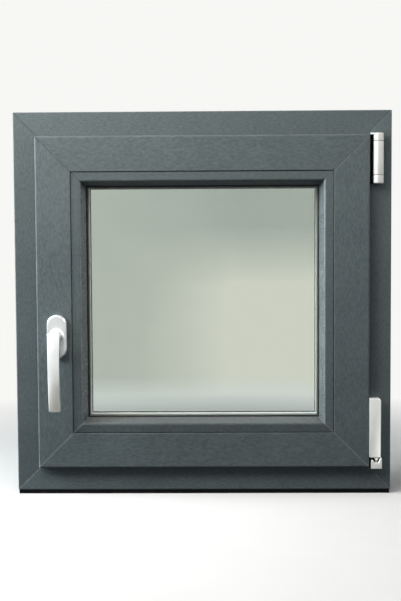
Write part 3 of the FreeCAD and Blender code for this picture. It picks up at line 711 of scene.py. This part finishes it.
# %% [markdown]
# ## The rosette
# The plate behind the lever covers two screws. It is an upright plate with half-round ends, whose wide
# bevel catches the light as a bright rim. A bevel modifier would do for a plain one; here rings of the
# same outline, drawn in step by step, give the bevel soft edges of a chosen size.

# %% Build the rosette
END_STEPS = 24
# how far each ring is drawn in, and how far it lies behind the face
BEVEL = ((0.0, 0.0026), (0.0001, 0.0023), (0.0004, 0.0019), (0.0018, 0.0005), (0.0021, 0.0002),
         (0.0025, 0.00005), (0.0030, 0.0), (0.0080, 0.0), (0.0150, 0.0))


def stadium(half_width, half_height, y):
    reach = half_height - half_width
    points = []
    for start, side in ((0, 1), (180, -1)):
        for step in range(END_STEPS + 1):
            angle = math.radians(start + 180 * step / END_STEPS)
            points.append((AXIS_X + half_width * math.cos(angle), y,
                           AXIS_Z + side * reach + half_width * math.sin(angle)))
    return points


def rosette_rings():
    half_width = (rosette_high.x - rosette_low.x) / 2
    half_height = (rosette_high.z - rosette_low.z) / 2
    return [stadium(half_width, half_height, rosette_high.y)] + [
        stadium(half_width - inset, half_height - inset, rosette_low.y + behind) for inset, behind in BEVEL]


finish_piece("rosette", close_mesh("rosette", rosette_rings()), rosette_aluminium,
             "brushed_aluminium", WINDOW, "handle_rosette")

# %% [markdown]
# ## The upper hinge
# Three turned barrels stand one above the other on a pin. Their outer ends are softly rounded and the
# joints between them are fine grooves. Turning a short outline round an axis makes each barrel, which
# gives the ends their rounding without a bevel.

# %% Turn the barrels
BARREL_SIDES, BARREL_STEPS = 64, 6
OUTER_END, JOINT = 0.0022, 0.0009


def barrel(name, node, low_round, high_round):
    low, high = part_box(node)
    x, y = (low.x + high.x) / 2, (low.y + high.y) / 2
    radius = (high.x - low.x) / 2
    turns = [math.pi / 2 * step / BARREL_STEPS for step in range(BARREL_STEPS + 1)]
    bottom = [(radius - inset, low.z + rise) for rise, inset in round_off(low_round, turns)]
    top = [(radius - inset, high.z - drop) for drop, inset in round_off(high_round, turns)]
    rings = [[(x + r * across, y + r * above, z) for across, above in circle(BARREL_SIDES)]
             for r, z in bottom + top[::-1]]
    finish_piece(name, close_mesh(name, rings), silver_barrel_painted_shade, "silver_cover", WINDOW, node)


barrel("hinge_cap", "upper_hinge_cap", JOINT, OUTER_END)
barrel("hinge_sleeve", "upper_hinge_sleeve", JOINT, JOINT)
barrel("hinge_foot", "upper_hinge_foot", OUTER_END, JOINT)

# %% [markdown]
# ## The lower hinge
# The lower hinge hides under a flat cover, with a fork under it that holds the pin. Their shape is
# right already and only their edges are too crisp. Copies of the solids are merged into whole surfaces
# first, and a bevel then rounds every edge by a hair, so that the edges draw a thin line of light as
# moulded covers do.

# %% Bevel the covers
EDGE_ROUND, EDGE_STEPS, EDGE_ANGLE = 0.0003, 3, math.radians(25)
SAME_POINT, SAME_PLANE = 0.00001, math.radians(1)


def bevelled_copy(name, node):
    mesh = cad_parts[node].data.copy()
    shape = bmesh.new()
    shape.from_mesh(mesh)
    bmesh.ops.remove_doubles(shape, verts=shape.verts, dist=SAME_POINT)
    bmesh.ops.dissolve_limit(shape, angle_limit=SAME_PLANE, verts=shape.verts, edges=shape.edges)
    sharp = [edge for edge in shape.edges
             if len(edge.link_faces) == 2 and edge.calc_face_angle() > EDGE_ANGLE]
    bmesh.ops.bevel(shape, geom=sharp, offset=EDGE_ROUND, offset_type="OFFSET", segments=EDGE_STEPS,
                    profile=0.5, affect="EDGES", clamp_overlap=True)
    mesh.clear_geometry()
    shape.to_mesh(mesh)
    shape.free()
    mesh.name = name
    finish_piece(name, mesh, silver_cover, "silver_cover", WINDOW, node)


bevelled_copy("hinge_cover", "lower_hinge_cover")
bevelled_copy("bearing_fork", "pivot_rest")
bevelled_copy("bearing_pin", "lower_hinge_pivot")

# %% [markdown]
# ## Rows of small things
# The spacer between the panes has two rows of fine holes, through which the drying grains inside it
# take up moisture. Hundreds of them by hand would be slow; Geometry Nodes walk along a path and set one
# copy at every few millimetres. The same tree sets the screws that hold the steel inside the frame.

# %% Geometry Nodes: copies along a path
def rows_tree():
    tree = bpy.data.node_groups.new("copies_along_path", "GeometryNodeTree")
    for label, kind in (("Path", "Geometry"), ("Piece", "Object"), ("Spacing", "Float"),
                        ("Finish", "Material")):
        tree.interface.new_socket(label, in_out="INPUT", socket_type="NodeSocket" + kind)
    tree.interface.new_socket("Result", in_out="OUTPUT", socket_type="NodeSocketGeometry")
    nodes, link = tree.nodes, tree.links.new
    given, result = nodes.new("NodeGroupInput"), nodes.new("NodeGroupOutput")
    to_curve = nodes.new("GeometryNodeMeshToCurve")
    resample = nodes.new("GeometryNodeResampleCurve")
    resample.mode = "LENGTH"
    outward = nodes.new("GeometryNodeInputNamedAttribute")
    outward.data_type = "FLOAT_VECTOR"
    outward.inputs["Name"].default_value = "outward"
    align = nodes.new("FunctionNodeAlignRotationToVector")
    align.axis = "Z"
    piece = nodes.new("GeometryNodeObjectInfo")
    instance = nodes.new("GeometryNodeInstanceOnPoints")
    realize = nodes.new("GeometryNodeRealizeInstances")
    finish = nodes.new("GeometryNodeSetMaterial")
    link(given.outputs["Path"], to_curve.inputs[0])
    link(to_curve.outputs[0], resample.inputs["Curve"])
    link(given.outputs["Spacing"], resample.inputs["Length"])
    link(outward.outputs["Attribute"], align.inputs["Vector"])
    link(given.outputs["Piece"], piece.inputs["Object"])
    link(resample.outputs[0], instance.inputs["Points"])
    link(piece.outputs["Geometry"], instance.inputs["Instance"])
    link(align.outputs[0], instance.inputs["Rotation"])
    link(instance.outputs[0], realize.inputs[0])
    link(realize.outputs[0], finish.inputs["Geometry"])
    link(given.outputs["Finish"], finish.inputs["Material"])
    link(finish.outputs[0], result.inputs[0])
    return tree


copies_along_path = rows_tree()
print("tree made:", copies_along_path.name, "with", len(copies_along_path.nodes), "nodes")


# %% Helper: run the tree on a path
def straight_paths(name, lines):
    # each line is a start, an end and the direction that the copies face
    mesh = bpy.data.meshes.new(name)
    points = [point for start, end, facing in lines for point in (start, end)]
    mesh.from_pydata(points, [(2 * i, 2 * i + 1) for i in range(len(lines))], [])
    outward = mesh.attributes.new("outward", "FLOAT_VECTOR", "POINT")
    for index, (start, end, facing) in enumerate(lines):
        outward.data[2 * index].vector = facing
        outward.data[2 * index + 1].vector = facing
    return mesh


def copies(name, lines, unit, spacing, material, slot):
    holder = bpy.data.objects.new(name + "_path", straight_paths(name + "_path", lines))
    model = bpy.data.objects.new(name + "_unit", unit)
    bpy.context.scene.collection.objects.link(holder)
    modifier = holder.modifiers.new("copies", "NODES")
    modifier.node_group = copies_along_path
    values = {"Piece": model, "Spacing": spacing, "Finish": material}
    for item in copies_along_path.interface.items_tree:
        if item.in_out == "INPUT" and item.name in values:
            modifier[item.identifier] = values[item.name]
    graph = bpy.context.evaluated_depsgraph_get()
    mesh = bpy.data.meshes.new_from_object(holder.evaluated_get(graph))
    bpy.data.objects.remove(holder)
    bpy.data.objects.remove(model)
    for extra in [layer for layer in mesh.attributes if layer.name == "outward"]:
        mesh.attributes.remove(extra)
    mesh.name = name
    finish_piece(name, mesh, material, slot, WINDOW)


def turned(name, profile, sides, *more_rows):
    # a small turned shape, given as radius and height pairs from its rim to its middle
    rows = [[(r * across, r * above, height) for across, above in circle(sides)] for r, height in profile]
    return close_mesh(name, [*rows, *more_rows])


# %% [markdown]
# ## Holes in the spacer
# The drying holes are a millimetre wide. Cutting them would cost far more faces than they show, so each
# one is a thin dark disc that stands a hair proud of the spacer, on the side towards the pane's middle:
# painted shade in place of the hole.

# %% Set the holes
spacer_low, spacer_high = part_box("spacer_bar")
SPACER_HEIGHT = 0.0085
HOLE_ROWS, HOLE_PITCH, HOLE_SIDES = (0.3, 0.7), 0.004, 8
HOLE = [(0.0005, -0.00005), (0.0005, 0.00002), (0.0003, 0.00004)]


def spacer_lines():
    lines = []
    left, right = spacer_low.x + SPACER_HEIGHT, spacer_high.x - SPACER_HEIGHT
    low, high = spacer_low.z + SPACER_HEIGHT, spacer_high.z - SPACER_HEIGHT
    for share in HOLE_ROWS:
        y = spacer_low.y + (spacer_high.y - spacer_low.y) * share
        lines += [((left, y, low), (left, y, high), (1, 0, 0)),
                  ((right, y, low), (right, y, high), (-1, 0, 0)),
                  ((left, y, low), (right, y, low), (0, 0, 1)),
                  ((left, y, high), (right, y, high), (0, 0, -1))]
    return lines


# each hole is a black disc: painted shade where the hole is
copies("spacer_holes", spacer_lines(), turned("hole", HOLE, HOLE_SIDES), HOLE_PITCH, black_rubber, "spacer")

# %% [markdown]
# ## Screws round the frame
# The steel inside the frame is held by screws in the groove round its outer side, one every 15 cm. Their
# low round heads have a six-lobed recess, which a wavy ring at the top and at the recess's floor gives.

# %% Set the screws
SCREW_HEAD = [(0.0034, -0.0002), (0.0034, 0.0008), (0.0031, 0.0012), (0.0019, 0.0014)]
SCREW_SIDES, LOBE_RADIUS, LOBE_DEPTH, RECESS_LEVELS = 24, 0.0012, 0.0003, (0.0014, 0.0005)
GROOVE_Y, GROOVE_DEPTH = 0.019, 0.0035
SCREW_MARGIN, SCREW_SPACING = 0.075, 0.15
frame_low, frame_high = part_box("frame_left")[0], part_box("frame_right")[1]


def screw_head():
    lobes = [LOBE_RADIUS + LOBE_DEPTH * math.cos(math.pi * i / 2) for i in range(SCREW_SIDES)]
    outline = [(lobe * across, lobe * above) for lobe, (across, above) in zip(lobes, circle(SCREW_SIDES))]
    recess = [[(x, y, height) for x, y in outline] for height in RECESS_LEVELS]
    return turned("screw_head", SCREW_HEAD, SCREW_SIDES, *recess)


def screw_lines():
    left, right = frame_low.x + GROOVE_DEPTH, frame_high.x - GROOVE_DEPTH
    top = frame_high.z - GROOVE_DEPTH
    low, high = frame_low.z + SCREW_MARGIN, frame_high.z - SCREW_MARGIN
    first, last = frame_low.x + SCREW_MARGIN, frame_high.x - SCREW_MARGIN
    return [((left, GROOVE_Y, low), (left, GROOVE_Y, high), (-1, 0, 0)),
            ((right, GROOVE_Y, low), (right, GROOVE_Y, high), (1, 0, 0)),
            ((first, GROOVE_Y, top), (last, GROOVE_Y, top), (0, 0, 1))]


copies("frame_screws", screw_lines(), screw_head(), SCREW_SPACING, plated_steel, "steel")

# %% [markdown]
# ## The room
# The window stands in a plain pale room. A closed room could be built round it, but only its colour
# counts: what the camera sees past the window, what shows through the glass and what metal mirrors. So
# the surroundings answer each kind of ray with its own colour, and as a source of light they stay dim,
# because the lamps light the window.

# %% Surroundings
ROOM = (0.93, 0.93, 0.91)
ROOM_IN_METAL = (0.82, 0.84, 0.83)
ROOM_IN_GLASS = (0.65, 0.68, 0.62)
AMBIENT, AMBIENT_STRENGTH = (0.86, 0.93, 1.0), 0.05


def room_seen(tree, kind):
    path = add(tree, "LightPath").outputs
    room = add(tree, kind, {"Color": (*AMBIENT, 1), "Strength": AMBIENT_STRENGTH})
    for ray, colour in (("Is Glossy Ray", ROOM_IN_METAL), ("Is Transmission Ray", ROOM_IN_GLASS),
                        ("Is Camera Ray", ROOM)):
        seen = add(tree, kind, {"Color": (*colour, 1), "Strength": 1.0})
        room = add(tree, "MixShader", {0: path[ray], 1: room.outputs[0], 2: seen.outputs[0]})
    return room.outputs[0]


world = bpy.data.worlds.new("pale_room")
bpy.context.scene.world = world
world.use_nodes = True
world.node_tree.nodes.clear()
add(world.node_tree, "OutputWorld", {"Surface": room_seen(world.node_tree, "Background")})
print("surroundings:", world.name)

# %% [markdown]
# ## The floor
# The floor is plain and pale, and fades into the room, so no horizon cuts the picture. What it throws
# back is chosen too: little light on the window's underside, and in metal it is dark in front and pale
# at the left, where daylight falls on it.

# %% Floor
FLOOR_DARK, FLOOR_LIGHT = (0.78, 0.78, 0.765), (0.81, 0.81, 0.795)
FLOOR_IN_SHADE = (0.11, 0.12, 0.13)
FLOOR_IN_METAL = (0.19, 0.185, 0.16)
LEFT_IN_METAL = (0.90, 0.90, 0.88)
FRONT_TO_LEFT, NEAR_TO_FAR = (-0.40, -0.58), (0.45, 1.1)
FLOOR_RADIUS, FLOOR_SIDES = 9.0, 96
FLOOR_CLOUD, FLOOR_ROUGH, FLOOR_SHINE = 0.3, 0.7, 0.2


def floor_material():
    material, tree, shader, place = new_material("pale_floor")
    path = add(tree, "LightPath").outputs
    leftward = fit(tree, parts_of(tree, place)[0], *FRONT_TO_LEFT, 0.0, 1.0)
    mirrored = tint(tree, leftward, FLOOR_IN_METAL, LEFT_IN_METAL)
    colour = tint(tree, clouds(tree, place, FLOOR_CLOUD), FLOOR_DARK, FLOOR_LIGHT)
    colour = tint(tree, path["Is Diffuse Ray"], colour, FLOOR_IN_SHADE)
    colour = tint(tree, path["Is Glossy Ray"], colour, mirrored)
    plug(tree, shader, {"Base Color": colour, "Roughness": FLOOR_ROUGH, "Specular IOR Level": FLOOR_SHINE})
    reach = add(tree, "VectorMath", {0: place}, operation="LENGTH").outputs["Value"]
    fade = fit(tree, reach, *NEAR_TO_FAR, 0.0, 1.0)
    mixed = add(tree, "MixShader", {0: fade, 1: shader.outputs[0], 2: room_seen(tree, "Emission")})
    show_instead(tree, mixed.outputs[0])
    return material


shape = bmesh.new()
bmesh.ops.create_circle(shape, cap_ends=True, segments=FLOOR_SIDES, radius=FLOOR_RADIUS)
floor = bpy.data.objects.new("floor", mesh_from("floor", shape))
floor.data.materials.append(floor_material())
bpy.context.scene.collection.objects.link(floor)
print("floor of", FLOOR_RADIUS, "m radius, fading from", NEAR_TO_FAR[0], "m")

# %% [markdown]
# ## Light
# The lamps are broad and stand high and close, so that the light falls off from the upper left to the
# lower right as it does in the picture. Two cooler ones at the left stand for daylight, which draws the
# bright line along the sash's edge. To set their powers, the window was drawn once with each lamp
# alone: light adds up, so the share of each that gives the wanted tones can be worked out.

# %% Lamps
# name, place, the point that it lights, width and height, power in watts, colour
LAMPS = (("main_lamp", (-0.72, -0.72, 0.98), (0.0, 0.0, 0.4), (0.45, 0.45), 7.0, (1.0, 0.93, 0.86)),
         ("top_lamp", (-0.22, -0.58, 1.10), (0.0, 0.0, 0.45), (0.8, 0.4), 5.8, (1.0, 0.93, 0.85)),
         ("side_lamp", (-1.4, -1.0, 0.9), (0.0, 0.0, 0.35), (0.6, 0.8), 2.0, (0.68, 0.94, 1.0)),
         ("daylight", (-1.8, -0.36, 1.05), (0.1, 0.0, 0.5), (0.5, 0.9), 47.0, (0.83, 0.91, 1.0)),
         ("right_lamp", (1.2, -0.6, 1.15), (0.1, 0.0, 0.5), (0.7, 0.7), 6.4, (0.97, 0.95, 1.0)))
for name, where, at, size, power, colour in LAMPS:
    light = bpy.data.lights.new(name, "AREA")
    light.shape = "RECTANGLE"
    light.size, light.size_y = size
    light.energy, light.color = power, colour
    item = bpy.data.objects.new(name, light)
    bpy.context.scene.collection.objects.link(item)
    item.location = where
    item.rotation_euler = (Vector(at) - Vector(where)).to_track_quat("-Z", "Y").to_euler()
bpy.context.scene.view_settings.view_transform = "Standard"
